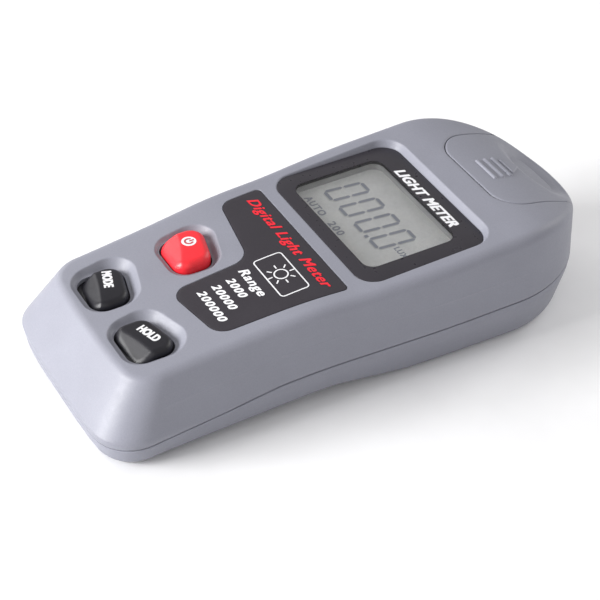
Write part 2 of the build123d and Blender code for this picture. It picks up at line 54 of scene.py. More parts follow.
# ---- outer form, as in the CAD model ----
# each level: height, tail end, half widths at the tail, waist and head, corner radius
TOP_LEVEL = (4.0, -60.7, 17.0, 21.9, 24.4, 5.0)
MID_LEVEL = (-15.0, -74.2, 25.2, 24.1, 25.4, 9.0)
LOW_LEVEL = (-26.0, -72.6, 23.4, 22.2, 22.8, 8.0)
TAIL_BOW, WAIST_Y, SHOULDER_Y, HEAD_Y = 1.2, -27.0, 2.0, 19.8
BLEND = 6.0
TOP_ROUND, BACK_ROUND = 2.4, 2.6
HANDLE_SLOPE, BEND_Y, RISE_Y, RISE_SLOPE, CREST_Y = 0.11, -27.5, -16.0, 0.05, 20.0
HEAD_DROP, HEAD_END_Y = -6.6, 46.0
HANDLE_BACK, FOOT_END, FOOT_TOP, BELLY_Y, BELLY_TOP = -21.2, -68.0, -63.5, -6.0, -23.0
PART_LEVEL, PART_BEND, PART_SLOPE = -13.9, -36.0, 0.091
SEAM = 0.09  # half the gap between the shells

# ---- features of the face ----
KEYS = {  # x, y, side of the high corner, top, dimple floor
    "power": (-8.6, -39.6, -1, 0.1, -2.5),
    "mode": (-8.8, -58.0, -1, -3.2, -4.9),
    "hold": (8.8, -58.0, 1, -3.2, -4.9),
}
KEY_HALF, KEY_LOW, KEY_INNER, KEY_OUTER, KEY_CORNER, KEY_GAP = 5.5, 5.2, 7.6, 10.4, 3.0, 0.3
KEY_FOOT, KEY_FLANGE, KEY_FLANGE_REACH = -6.4, 0.5, 0.9
FACETS = {  # start below the key's middle, turn in degrees, slope, radius of the key's rim
    "power": (1.95, -20, 0.5, 1.4),
    "mode": (2.0, -16, 0.78, 1.25),
    "hold": (2.0, 16, 0.78, 1.25),
}
DIMPLE_REACH, DIMPLE_SLANT = 0.8, math.radians(38)
WINDOW, WINDOW_CORNER, WINDOW_THICK = (39.8, 30.2), 4.5, 1.2
VIEW, VIEW_CENTRE, VIEW_CORNER = (31.6, 21.5), (-0.35, -1.05), 2.6
COVER_HALF, COVER_TAIL, COVER_CORNER, COVER_BOTTOM = 14.0, 22.5, 6.5, -9.2
COVER_GAP, BAY_FLOOR, PAST_HEAD = 0.14, -9.5, 60
LABEL = (
    (-18.8, -18.2, 1.0), (18.8, -18.2, 1.0), (16.6, -46.2, 4.0),
    (0.5, -48.8, 3.0), (0.5, -30.9, 4.0), (-18.1, -27.8, 3.0),
)
LABEL_DEPTH = 0.22
DOOR = (-17.8, 17.8, -66.6, -15.4, 3.0)
DOOR_GAP, BACK_EDGE = 0.2, 0.25
SCREWS = ((20.2, -19.3), (-20.2, -19.3), (18.2, 20.6), (-18.2, 20.6))
SINK_R, SCREW_SEAT = 1.7, -20.4


def row(points):
    """Deck millimetres to row metres."""
    p = np.asarray(points, float).reshape(-1, 3)
    out = np.outer(p[:, 1], DECK_Y) + np.outer(p[:, 2], DECK_Z)
    out[:, 0] += p[:, 0]
    return (out + (0, DECK_SHIFT, DECK_HEIGHT)) / 1000


def ramp(d, h):
    """0 before -h, d after h, and a smooth turn between them."""
    return np.where(d < -h, 0, np.where(d > h, d, (d + h) ** 2 / (4 * h)))


def smooth_min(a, b, k):
    t = np.clip(0.5 + 0.5 * (b - a) / k, 0, 1)
    return b + (a - b) * t - k * t * (1 - t)


def face_level(y):
    """Height of the top surface along the meter."""
    y = np.asarray(y, float)
    z = -HANDLE_SLOPE * ramp(BEND_Y - y, 6.0) + RISE_SLOPE * ramp(y - RISE_Y, 2.8)
    crest = np.array((CREST_Y, RISE_SLOPE * (CREST_Y - RISE_Y)))
    angle = math.atan(RISE_SLOPE)
    chord = np.array((HEAD_END_Y, HEAD_DROP)) - crest
    down = np.array((math.sin(angle), -math.cos(angle)))
    radius = chord @ chord / (2 * chord @ down)
    middle = crest + down * radius
    arc = middle[1] + np.sqrt(np.clip(radius**2 - (y - middle[0]) ** 2, 0, None))
    return np.where(y > CREST_Y, arc, z)


def rest_level(y):
    return -(DECK_HEIGHT + math.sin(LEAN) * np.asarray(y, float)) / math.cos(LEAN)


def back_level(y):
    """Height of the back surface along the meter."""
    y = np.asarray(y, float)
    knots = np.array((-100, FOOT_END, FOOT_TOP, BELLY_TOP, BELLY_Y, 60))
    levels = rest_level(knots)
    levels[2:4] = HANDLE_BACK
    slopes = np.diff(levels) / np.diff(knots)
    z = levels[0] + slopes[0] * (y - knots[0])
    for knot, turn in zip(knots[1:-1], np.diff(slopes)):
        z = z + turn * ramp(y - knot, 1.6)
    return z


def seam_level(y):
    return PART_LEVEL - PART_SLOPE * ramp(PART_BEND - np.asarray(y, float), 1.5)


def plan(level):
    """Plan outline of the form at one height, anticlockwise from the middle of the tail."""
    _, tail, tail_half, waist, head, corner = level
    corner_y = tail + TAIL_BOW
    slope = 2 * TAIL_BOW / tail_half
    first = np.array((1, slope)) / math.hypot(1, slope)
    second = np.array((waist - tail_half, WAIST_Y - corner_y))
    second /= np.hypot(*second)
    turn = math.acos(first @ second)
    reach = corner * math.tan(turn / 2)
    start = np.array((tail_half, corner_y)) - first * reach
    end = np.array((tail_half, corner_y)) + second * reach
    centre = start + corner * np.array((-first[1], first[0]))
    u = np.linspace(0, 1, 25)[:-1]
    power = slope * start[0] / (start[1] - tail)
    tail_part = np.c_[u * start[0], tail + (start[1] - tail) * u**power]
    a = math.atan2(-first[0], first[1]) + np.linspace(0, turn, 21)[:-1]
    corner_part = centre + corner * np.c_[np.cos(a), np.sin(a)]
    y = np.linspace(end[1], HEAD_Y, 171)[:-1]
    s0 = (waist - tail_half) / (WAIST_Y - corner_y)
    s1 = (head - waist) / (SHOULDER_Y - WAIST_Y)
    x = tail_half + s0 * (y - corner_y) + (s1 - s0) * ramp(y - WAIST_Y, BLEND)
    x -= s1 * ramp(y - SHOULDER_Y, BLEND)
    a = np.linspace(0, math.pi / 2, 73)
    head_part = np.c_[head * np.cos(a), HEAD_Y + head * np.sin(a)]
    right = np.vstack((tail_part, corner_part, np.c_[x, y], head_part))
    left = right[1:-1][::-1] * (-1, 1)
    return np.vstack((right, left))


def column_ends(form):
    """The outline of one level of the form, at its height."""
    outline = plan(form)
    return np.c_[outline, np.full(len(outline), form[0])]


TOP_ENDS, MID_ENDS, LOW_ENDS = (column_ends(form) for form in (TOP_LEVEL, MID_LEVEL, LOW_LEVEL))


def wall_point(z):
    """Points on the side walls at a height for each column."""
    up = ((z - MID_LEVEL[0]) / (TOP_LEVEL[0] - MID_LEVEL[0]))[:, None]
    down = ((z - MID_LEVEL[0]) / (LOW_LEVEL[0] - MID_LEVEL[0]))[:, None]
    upper = MID_ENDS + (TOP_ENDS - MID_ENDS) * up
    lower = MID_ENDS + (LOW_ENDS - MID_ENDS) * down
    return np.where((z > MID_LEVEL[0])[:, None], upper, lower)


START_HEIGHT = -8.0  # where the search for the edge of a surface starts


def where_wall_meets(surface):
    """Where the side walls meet the face, the back or the seam."""
    z = np.full(len(TOP_ENDS), START_HEIGHT)
    for _ in range(12):
        p = wall_point(z)
        z = surface(p[:, 1])
    return wall_point(z)


def unit(v):
    return v / np.linalg.norm(v, axis=-1, keepdims=True)


def inward(points):
    """Horizontal directions into a closed anticlockwise loop."""
    t = np.roll(points, -1, 0) - np.roll(points, 1, 0)
    return unit(np.c_[-t[:, 1], t[:, 0], np.zeros(len(t))])


def rounded_corner(edge, wall, face, radius, steps):
    """Rings of an arc tangent to the wall and the face at each column."""
    angle = np.arccos(np.clip((wall * face).sum(1), -1, 1))[:, None]
    reach = radius / np.tan(angle / 2)
    centre = edge + unit(wall + face) * radius / np.sin(angle / 2)
    a, b = edge + wall * reach - centre, edge + face * reach - centre
    sweep = math.pi - angle
    return [
        centre + (np.sin((1 - t) * sweep) * a + np.sin(t * sweep) * b) / np.sin(sweep)
        for t in np.linspace(0, 1, steps + 1)
    ]


# ---- distances to the outlines of features, negative inside ----
CORNERS = ((-1, -1), (1, -1), (1, 1), (-1, 1))


def round_polygon(corners):
    """Points along a polygon whose corners are rounded: (x, y, radius) each, in either order."""
    pts = np.array([c[:2] for c in corners], float)
    out = []
    for i, (x, y, radius) in enumerate(corners):
        p, a, b = pts[i], pts[i - 1], pts[(i + 1) % len(pts)]
        u, v = unit(a - p), unit(b - p)
        half = math.acos(np.clip(u @ v, -1, 1)) / 2
        reach = radius / math.tan(half)
        centre = p + unit(u + v) * radius / math.sin(half)
        s, e = p + u * reach - centre, p + v * reach - centre
        sweep = math.pi - 2 * half
        n = max(4, int(radius * sweep / 0.35))
        for t in np.linspace(0, 1, n + 1):
            turned = math.sin((1 - t) * sweep) * s + math.sin(t * sweep) * e
            out.append(centre + turned / math.sin(sweep))
    loop = np.array(out)
    fine = []
    for i in range(len(loop)):
        a, b = loop[i - 1], loop[i]
        n = max(1, int(np.hypot(*(b - a)) / 0.5))
        fine += [a + (b - a) * t for t in np.linspace(0, 1, n + 1)[1:]]
    fine = np.array(fine)
    area = (fine[:, 0] * np.roll(fine[:, 1], -1) - np.roll(fine[:, 0], -1) * fine[:, 1]).sum()
    return fine if area > 0 else fine[::-1]


def distance(loop, p):
    """Signed distance from points to a closed loop, negative inside."""
    p = np.asarray(p, float)
    best, inside = np.full(len(p), 1e9), np.zeros(len(p), bool)
    for a, b in zip(loop, np.roll(loop, -1, 0)):
        d, w = b - a, p - a
        t = np.clip((w @ d) / (d @ d), 0, 1)
        best = np.minimum(best, ((w - t[:, None] * d) ** 2).sum(1))
        if a[1] != b[1]:
            crosses = (a[1] > p[:, 1]) != (b[1] > p[:, 1])
            inside ^= crosses & (p[:, 0] < a[0] + (p[:, 1] - a[1]) * d[0] / d[1])
    return np.where(inside, -1, 1) * np.sqrt(best)


def offset_loop(loop, grow):
    """The loop moved outward, with points that would fold back left out."""
    n = inward(loop)[:, :2]
    moved = loop - n * np.asarray(grow, float).reshape(-1, 1)
    keep = np.abs(distance(loop, moved) - grow) < 0.02 + 0.02 * np.abs(grow)
    return moved[keep]


def box_loop(size, corner, centre=(0, 0)):
    x, y = size[0] / 2, size[1] / 2
    cx, cy = centre
    return round_polygon([(cx + i * x, cy + j * y, corner) for i, j in CORNERS])


def key_loop(key):
    x, y, side, *_ = KEYS[key]
    low = y - KEY_LOW
    inner, outer = x - side * KEY_HALF, x + side * KEY_HALF
    corners = ((inner, low), (outer, low), (outer, low + KEY_OUTER), (inner, low + KEY_INNER))
    return round_polygon([(*corner, KEY_CORNER) for corner in corners])


KEY_LOOPS = {key: key_loop(key) for key in KEYS}
WINDOW_LOOP = box_loop(WINDOW, WINDOW_CORNER)
LABEL_LOOP = round_polygon(LABEL)
COVER_LOOP = round_polygon([
    (-COVER_HALF, COVER_TAIL, COVER_CORNER), (COVER_HALF, COVER_TAIL, COVER_CORNER),
    (COVER_HALF, PAST_HEAD, 1), (-COVER_HALF, PAST_HEAD, 1),
])
RIDGES = [((-3.3, y), (3.3, y)) for y in (26.9, 28.9, 30.9)]
RIDGE_RISE, RIDGE_HALF = 0.42, 0.52
ARROW = round_polygon([(-3.1, 31.9, 0.15), (3.1, 31.9, 0.15), (0.0, 35.5, 0.4)])
ARROW_RISE, ARROW_EDGE = 0.34, 0.22
HOLLOW, HOLLOW_START, HOLLOW_Y = 2.2, 34.6, 38.5
POCKET_SLANT = math.radians(27)


def edge_drop(d, radius):
    """How far a rounded edge falls, where d is the distance in from the edge."""
    gap = np.clip(radius - d, 0, radius)
    return radius - np.sqrt(radius**2 - gap**2)


def face_height(p):
    """Height of the front face with its pocket, dimples, label bed and hollow."""
    x, y = p[:, 0], p[:, 1]
    z = face_level(y)
    for key, loop in KEY_LOOPS.items():
        floor = KEYS[key][4]
        near = (abs(x - KEYS[key][0]) < 14) & (abs(y - KEYS[key][1]) < 14)
        d = distance(loop, p[near])
        cone = floor + ramp(d - DIMPLE_REACH, 0.3) / math.tan(DIMPLE_SLANT)
        z[near] = smooth_min(z[near], cone, 0.2)
    d = distance(WINDOW_LOOP, p)
    z = smooth_min(z, 0.02 + (d - 0.05) / math.tan(POCKET_SLANT), 0.3)
    d = distance(LABEL_LOOP, p)
    z -= (LABEL_DEPTH + 0.03) * (1 - np.clip((d - 0.05) / 0.12, 0, 1))
    d = distance(COVER_LOOP, p)
    z -= np.where(d > 0, edge_drop(np.clip(d - COVER_GAP, 0, None), 0.28), edge_drop(-d, 0.35))
    # thumb hollow past the arrow, and the raised marks on the cover
    start = np.clip((y - HOLLOW_START - 0.016 * x**2) / 3.4, 0, 1)
    past = np.clip(y - HOLLOW_Y, 0, None)
    hollow = HOLLOW * np.exp(-((past / 4.6) ** 2) - np.abs(x / 9.5) ** 4)
    z -= hollow * start**2 * (3 - 2 * start) * (d < 0)
    for a, b in RIDGES:
        a, b = np.array(a), np.array(b)
        t = np.clip(((p - a) @ (b - a)) / ((b - a) @ (b - a)), 0, 1)
        r = np.hypot(*(p - a - t[:, None] * (b - a)).T)
        z += RIDGE_RISE * np.clip(1 - (r / RIDGE_HALF) ** 2, 0, 1) ** 0.6
    z += ARROW_RISE * np.clip(-distance(ARROW, p) / ARROW_EDGE, 0, 1)
    return z


def dimple_rim(key):
    """How far from each point of a key's outline its dimple meets the face."""
    loop, floor = KEY_LOOPS[key], KEYS[key][4]
    n = inward(loop)
    reach = np.full(len(loop), DIMPLE_REACH)
    for _ in range(4):
        depth = face_level(loop[:, 1] - n[:, 1] * reach) - floor
        reach = DIMPLE_REACH + np.clip(depth, 0.1, None) * math.tan(DIMPLE_SLANT)
    return reach


# ---- meshes ----
def mesh_object(name, verts, faces, material, sharp=40.0, weld=2e-6, flat=False):
    """A smooth-shaded piece from deck coordinates in millimetres."""
    mesh = bpy.data.meshes.new(name)
    mesh.from_pydata(row(verts).tolist(), [], [list(map(int, f)) for f in faces])
    bm = bmesh.new()
    bm.from_mesh(mesh)
    bmesh.ops.remove_doubles(bm, verts=bm.verts, dist=weld)
    bmesh.ops.delete(bm, geom=[v for v in bm.verts if not v.link_faces], context="VERTS")
    if flat:  # printed marks face out of the deck
        bm.normal_update()
        for f in bm.faces:
            if f.normal.dot(Vector(DECK_Z)) < 0:
                f.normal_flip()
    else:
        bmesh.ops.recalc_face_normals(bm, faces=bm.faces)
    bm.to_mesh(mesh)
    bm.free()
    mesh.shade_smooth()
    mesh.set_sharp_from_angle(angle=math.radians(sharp))
    piece = bpy.data.objects.new(name, mesh)
    bpy.context.scene.collection.objects.link(piece)
    mesh.materials.append(material)
    return piece


NO_SEEDS = np.zeros((0, 2))


def level(z):
    """A flat surface at one height."""
    return lambda p: np.full(len(p), float(z))


class Build:
    """Collects vertices and faces of one piece."""

    def __init__(self):
        self.verts, self.faces, self.count = [], [], 0

    def points(self, pts):
        pts = np.asarray(pts, float)
        self.verts.append(pts)
        self.count += len(pts)
        return np.arange(self.count - len(pts), self.count)

    def rings(self, rings):
        """Quads between rings of as many points each."""
        ids = [self.points(ring) for ring in rings]
        for a, b in zip(ids, ids[1:]):
            for i in range(len(a)):
                j = (i + 1) % len(a)
                self.faces.append((a[i], a[j], b[j], b[i]))

    def cap(self, ring, lift=0.0):
        """Closes a ring with a fan round its middle."""
        ids = self.points(ring)
        middle = self.points([np.mean(ring, 0) + (0, 0, lift)])[0]
        for i in range(len(ids)):
            self.faces.append((ids[i], ids[(i + 1) % len(ids)], middle))

    def surface(self, loops, seeds, height, keep):
        """A triangulated surface over the plan whose edges follow the loops."""
        pts, edges, at = [], [], 0
        for loop in loops:
            pts.append(loop)
            edges += [(at + i, at + (i + 1) % len(loop)) for i in range(len(loop))]
            at += len(loop)
        pts.append(seeds)
        flat = np.vstack(pts)
        got = delaunay_2d_cdt([Vector(p) for p in flat], edges, [], 0, 1e-5)
        p = np.array([tuple(v) for v in got[0]])
        tris = np.array([f for f in got[2] if len(f) == 3])
        tris = tris[keep(p[tris].mean(1))]
        ids = self.points(np.c_[p, height(p)])
        self.faces += [tuple(ids[t]) for t in tris]

    def plate(self, outline, z, seeds=NO_SEEDS, hole=None):
        """A flat triangulated face inside an outline, round a hole if one is given."""
        holes = [] if hole is None else [hole]
        self.surface(
            [outline, *holes], seeds, level(z),
            lambda c: (distance(outline, c) < 0) & (np.all([distance(h, c) > 0 for h in holes], 0)),
        )

    def piece(self, name, material, **kw):
        return mesh_object(name, np.vstack(self.verts), self.faces, material, **kw)


def grid(low, high, step):
    """Points of a triangular grid over a rectangle."""
    out = []
    for j, y in enumerate(np.arange(low[1], high[1], step * 0.87)):
        xs = np.arange(low[0] + (j % 2) * step / 2, high[0], step)
        out.append(np.c_[xs, np.full(len(xs), y)])
    return np.vstack(out)


def lift(loop, z):
    """A plan loop at a height."""
    return np.c_[loop, np.broadcast_to(z, len(loop))]


def within(loop, p, margin):
    """The points that lie more than a margin inside a loop."""
    return p[distance(loop, p) < -margin]


# ---- procedural materials ----
def node_material(
    name, rough, colours, grain=4.0, bump=0.0, metallic=0.0, coat=0.0, patches=0.12, **sockets
):
    """Principled material whose colour, roughness and relief vary over the surface.

    grain and patches are noise scales per millimetre, and bump is the grain's height.
    """
    m = bpy.data.materials.new(name)
    m.use_nodes = True
    nodes, links = m.node_tree.nodes, m.node_tree.links
    shader = nodes["Principled BSDF"]
    where = nodes.new("ShaderNodeTexCoord")
    scale = nodes.new("ShaderNodeMapping")
    scale.inputs["Scale"].default_value = (1000, 1000, 1000)
    links.new(where.outputs["Object"], scale.inputs["Vector"])

    def noise(size, detail, roughness=0.5):
        n = nodes.new("ShaderNodeTexNoise")
        n.inputs["Scale"].default_value = size
        n.inputs["Detail"].default_value = detail
        n.inputs["Roughness"].default_value = roughness
        links.new(scale.outputs["Vector"], n.inputs["Vector"])
        return n.outputs["Fac"]

    def spread(value, low, high):
        r = nodes.new("ShaderNodeMapRange")
        ends = {"From Min": 0.25, "From Max": 0.75, "To Min": low, "To Max": high}
        for end, number in ends.items():
            r.inputs[end].default_value = number
        links.new(value, r.inputs["Value"])
        return r.outputs["Result"]

    tint = nodes.new("ShaderNodeMix")
    tint.data_type = "RGBA"
    links.new(spread(noise(patches, 4.0), 0, 1), tint.inputs[0])
    tint.inputs[6].default_value = (*colours[0], 1)
    tint.inputs[7].default_value = (*colours[1], 1)
    speck = nodes.new("ShaderNodeMix")
    speck.data_type, speck.blend_type = "RGBA", "MULTIPLY"
    speck.inputs[0].default_value = 1.0
    tone = nodes.new("ShaderNodeCombineColor")
    value = spread(noise(grain * 0.7, 3.0), 0.95, 1.05)
    for i in range(3):
        links.new(value, tone.inputs[i])
    links.new(tint.outputs[2], speck.inputs[6])
    links.new(tone.outputs[0], speck.inputs[7])
    links.new(speck.outputs[2], shader.inputs["Base Color"])
    links.new(spread(noise(grain * 0.25, 3.0), *rough), shader.inputs["Roughness"])
    if bump:
        relief = nodes.new("ShaderNodeBump")
        relief.inputs["Distance"].default_value = bump / 1000
        links.new(noise(grain, 2.0, 0.6), relief.inputs["Height"])
        links.new(relief.outputs["Normal"], shader.inputs["Normal"])
    shader.inputs["Metallic"].default_value = metallic
    shader.inputs["Coat Weight"].default_value = coat
    for key, v in sockets.items():
        shader.inputs[key.replace("_", " ")].default_value = v
    return m


def two(colour, k):
    """A darker and a lighter tone of a colour."""
    return [tuple(v * tone for v in colour) for tone in (1 - k, 1 + k)]


GREY = (0.240, 0.244, 0.289)
case_mat = node_material("case_plastic", (0.42, 0.52), two(GREY, 0.035), grain=5.0, bump=0.012)
cover_mat = node_material("cover_plastic", (0.40, 0.50), two(GREY, 0.03), grain=5.0, bump=0.01)
red_mat = node_material(
    "red_plastic", (0.32, 0.42), two((0.84, 0.022, 0.034), 0.05), bump=0.006,
    Specular_IOR_Level=0.5,
)
black_mat = node_material(
    "black_plastic", (0.32, 0.44), two((0.010, 0.0095, 0.014), 0.1), bump=0.006,
    Specular_IOR_Level=0.45,
)
film_mat = node_material(
    "label_film", (0.34, 0.44), two((0.033, 0.029, 0.036), 0.06), grain=3.0, bump=0.003,
    Specular_IOR_Level=0.35,
)
mask_mat = node_material(
    "window_mask", (0.26, 0.34), two((0.03, 0.027, 0.034), 0.06), grain=3.0,
    Specular_IOR_Level=0.4,
)
white_mat = node_material(
    "white_ink", (0.45, 0.55), two((0.80, 0.80, 0.82), 0.03), grain=5.0, bump=0.004,
)
red_ink = node_material(
    "red_ink", (0.45, 0.55), two((0.80, 0.012, 0.03), 0.03), grain=5.0, bump=0.004,
)
segment_mat = node_material("lcd_segments", (0.4, 0.5), two((0.275, 0.29, 0.345), 0.05))
# painted shadow: a lighter grey for offset copies of the segments, standing for their shadow on the
# display's reflector
painted_digit_shadow_mat = node_material("lcd_segment_shadows", (0.4, 0.5), two((0.53, 0.535, 0.53), 0.05))
symbol_mat = node_material("symbol_ink", (0.45, 0.55), two((0.50, 0.07, 0.08), 0.05))
tunnel_mat = node_material(
    "display_surround", (0.5, 0.6), two((0.36, 0.36, 0.36), 0.05), bump=0.004,
)
lcd_mat = node_material("lcd_glass", (0.30, 0.40), two((0.69, 0.695, 0.685), 0.03), grain=2.0)
clear_mat = node_material(
    "clear_plastic", (0.03, 0.06), two((0.98, 0.985, 0.99), 0.005), grain=0.5,
    Transmission_Weight=1.0, IOR=1.47,
)
resin_mat = node_material(
    "board_resin", (0.3, 0.42), ((0.012, 0.10, 0.035), (0.02, 0.15, 0.05)),
    grain=2.0, bump=0.02, patches=0.5, coat=0.3,
)
chip_mat = node_material(
    "chip_resin", (0.45, 0.6), two((0.016, 0.016, 0.018), 0.1), grain=6.0, bump=0.01,
)
steel_mat = node_material(
    "plated_steel", (0.18, 0.32), two((0.62, 0.61, 0.58), 0.06),
    grain=3.0, bump=0.002, metallic=1.0,
)
copper_mat = node_material(
    "copper_wire", (0.2, 0.35), two((0.75, 0.42, 0.2), 0.05),
    grain=3.0, bump=0.002, metallic=1.0,
)
frame_mat = node_material("frame_plastic", (0.4, 0.5), two((0.72, 0.72, 0.69), 0.03), bump=0.006)
dark_mat = node_material("dark_plastic", (0.5, 0.6), two((0.05, 0.05, 0.055), 0.08), bump=0.008)
dome_mat = node_material(
    "diffuser", (0.35, 0.45), two((0.86, 0.86, 0.84), 0.02), bump=0.003,
    Subsurface_Weight=0.4, Subsurface_Radius=(0.002, 0.002, 0.002),
)
filter_mat = node_material(
    "filter_glass", (0.05, 0.1), two((0.10, 0.32, 0.24), 0.05), grain=1.0, coat=0.5,
)
cell_mat = node_material(
    "cell_sleeve", (0.25, 0.35), two((0.035, 0.045, 0.07), 0.08), grain=1.5, bump=0.003, coat=0.4,
)
foam_mat = node_material("foam", (0.85, 0.95), two((0.03, 0.03, 0.032), 0.2), grain=3.0, bump=0.15)
rubber_mat = node_material(
    "contact_rubber", (0.6, 0.75), two((0.05, 0.05, 0.055), 0.1), grain=5.0, bump=0.01,
)

# ---- the front shell and the cover share one skin ----
top_edge = where_wall_meets(face_level)
seam_edge = where_wall_meets(seam_level)
into = inward(top_edge)
down_wall = unit(MID_ENDS - TOP_ENDS)
step = 0.2
probe = top_edge[:, 1] + into[:, 1] * step
across = unit(np.c_[into[:, :2] * step, face_level(probe) - face_level(top_edge[:, 1])])
arc = rounded_corner(top_edge, down_wall, across, TOP_ROUND, 9)
miss = face_level(arc[-1][:, 1]) - arc[-1][:, 2]
for i, ring in enumerate(arc):
    t = i / (len(arc) - 1)
    ring[:, 2] += miss * t**2
    relief = face_height(ring[:, :2].copy()) - face_level(ring[:, 1])
    on_head = (np.abs(ring[:, 0]) < COVER_HALF) * (ring[:, 1] > COVER_TAIL)
    ring[:, 2] += np.clip(relief, -1.3, 0) * t**1.5 * on_head

# finger scoops along both sides, below a soft crease
CREASE, SCOOP = 6.6, 0.32
SCOOP_ROWS = (0.1, 0.2, 0.32, 0.44, 0.56, 0.66, 0.74, 0.81, 0.87, 0.92, 0.96, 0.985, 1.0, 1.04, 1.1)
wall_top = arc[0]
along = seam_edge[:, 1]
fade = np.clip((along + 70) / 14, 0, 1) * np.clip((34 - along) / 32, 0, 1)
off_tail = np.clip((np.abs(seam_edge[:, 0]) - 16) / 6, 0, 1)
fade = fade**2 * (3 - 2 * fade) * np.where(along < 0, off_tail, 1)
out = -inward(seam_edge)


def wall_ring(z, grow=0.0):
    return wall_point(z) + out * np.asarray(grow).reshape(-1, 1)


LIP_RINGS = 4  # rings of the lip at the seam, which the cover doesn't reach
lip = seam_edge[:, 2] + SEAM
skin = [wall_ring(lip + up, -inset) for up, inset in ((0, 1.0), (0, 0.22), (0.05, 0.08), (0.2, 0))]
for u in SCOOP_ROWS:
    inset = SCOOP * (u**1.1 * np.clip(1 - u, 0, None) ** 0.55) / 0.5 * fade if u < 1 else 0 * fade
    skin.append(wall_ring(lip + u * CREASE, -inset))
top_of_scoop = lip + SCOOP_ROWS[-1] * CREASE
for t in (0.35, 0.7):
    skin.append(wall_ring(top_of_scoop + (wall_top[:, 2] - top_of_scoop) * t))
skin += arc

boundary = arc[-1][:, :2].copy()
loops = [boundary]
for key, loop in KEY_LOOPS.items():
    loops += [offset_loop(loop, g) for g in (KEY_GAP, 0.45, 0.65, 0.8, 0.95, 1.15, 1.4)]
    loops += [offset_loop(loop, dimple_rim(key) + g) for g in (-0.2, -0.07, 0.07, 0.2)]
for g in (0.0, 0.1, 0.2, 0.35, 0.5, 0.62, 0.74, 0.86, 0.98, 1.15, 1.4):
    loops.append(offset_loop(WINDOW_LOOP, g + 0.02))
for g in (0.05, 0.17):
    loops.append(offset_loop(LABEL_LOOP, g))
cover_rim = (-0.7, -0.35, -0.22, -0.1, -0.03, 0.0)
bay_rim = (COVER_GAP, COVER_GAP + 0.04, COVER_GAP + 0.12, COVER_GAP + 0.28, 0.8)
for g in cover_rim + bay_rim:
    loops.append(offset_loop(COVER_LOOP, g))
loops.append(ARROW)
seeds = [grid((-26, -76), (26, 46), 1.0)]
for key, (x, y, *_) in KEYS.items():
    seeds.append(grid((x - 9.5, y - 8), (x + 9.5, y + 11), 0.4))
seeds.append(grid((-5, 25.5), (5, 37.0), 0.2))
seeds.append(grid((-12, 33), (12, 46), 0.5))
seeds = within(boundary, np.vstack(seeds), 0.5)


def on_shell(c):
    keep = distance(boundary, c) < 0
    keep &= distance(WINDOW_LOOP, c) > 0.02
    keep &= distance(COVER_LOOP, c) > COVER_GAP - 1e-3
    for loop in KEY_LOOPS.values():
        keep &= distance(loop, c) > KEY_GAP - 1e-3
    return keep


def on_cover(c):
    return (distance(boundary, c) < 0) & (distance(COVER_LOOP, c) < 1e-3)


CUT_Y, DIVIDED_Y = 28, 30  # where the cuts start, and where they take over from the plan loops


def deck_of(point):
    """Deck millimetres of a point of the row."""
    c = np.array(point) * 1000 - (0, DECK_SHIFT, DECK_HEIGHT)
    return c[0], c @ DECK_Y, c @ DECK_Z


def cut_walls(bm, grow, floor, keep_inside):
    """Cuts the skin along the cover's sides and bottom, and keeps one part."""
    half = COVER_HALF + grow
    planes = (
        ((1, 0, 0), (half, 0, 0)),
        ((-1, 0, 0), (-half, 0, 0)),
        (tuple(DECK_Z), (0, 40, floor)),
    )
    head_start = row([(0, CUT_Y, 0)])[0][1]
    for normal, at in planes:
        spot = row([at])[0]
        faces = [f for f in bm.faces if f.calc_center_median().y > head_start]
        verts = dict.fromkeys(v for f in faces for v in f.verts)
        edges = dict.fromkeys(e for f in faces for e in f.edges)
        geom = [*verts, *edges, *faces]
        bmesh.ops.bisect_plane(bm, geom=geom, plane_co=spot, plane_no=normal, dist=1e-7)
    doomed = []
    for f in bm.faces:
        x, y, z = deck_of(f.calc_center_median())
        inside = abs(x) < half and y > COVER_TAIL - 1 and z > floor
        if y < DIVIDED_Y and not keep_inside:  # the plan loops have already divided this part
            inside = False
        if inside != keep_inside:
            doomed.append(f)
    bmesh.ops.delete(bm, geom=doomed, context="FACES")


def skin_piece(name, keep, material, grow, floor, keep_inside):
    """The cover's part of the skin, or the front shell's, still open at its cuts."""
    b = Build()
    b.rings(skin[LIP_RINGS:] if keep_inside else skin)
    b.surface(loops, seeds, face_height, keep)
    piece = b.piece(name, material, weld=4e-6)
    bm = bmesh.new()
    bm.from_mesh(piece.data)
    cut_walls(bm, grow, floor, keep_inside)
    bmesh.ops.delete(bm, geom=[v for v in bm.verts if not v.link_faces], context="VERTS")
    return piece, bm


def settle(piece, bm, sharp=38):
    """Writes the edited mesh back with outward normals."""
    bmesh.ops.remove_doubles(bm, verts=bm.verts, dist=2e-6)
    bmesh.ops.dissolve_degenerate(bm, edges=bm.edges, dist=1e-6)
    bmesh.ops.recalc_face_normals(bm, faces=bm.faces)
    bm.to_mesh(piece.data)
    bm.free()
    piece.data.shade_smooth()
    piece.data.set_sharp_from_angle(angle=math.radians(sharp))


def pull(bm, edges, target):
    """Extrudes open edges, and moves the new points to where target puts them."""
    new = bmesh.ops.extrude_edge_only(bm, edges=edges)["geom"]
    for v in (g for g in new if isinstance(g, bmesh.types.BMVert)):
        v.co = row([target(*deck_of(v.co))])[0]


BAY_START = COVER_TAIL - 0.3
WELL_BOTTOM, POCKET_BOTTOM, WELLS_END = -5.8, -1.45, -25

front, bm = skin_piece("front_shell", on_shell, case_mat, COVER_GAP, BAY_FLOOR, False)
open_edges = [e for e in bm.edges if e.is_boundary]


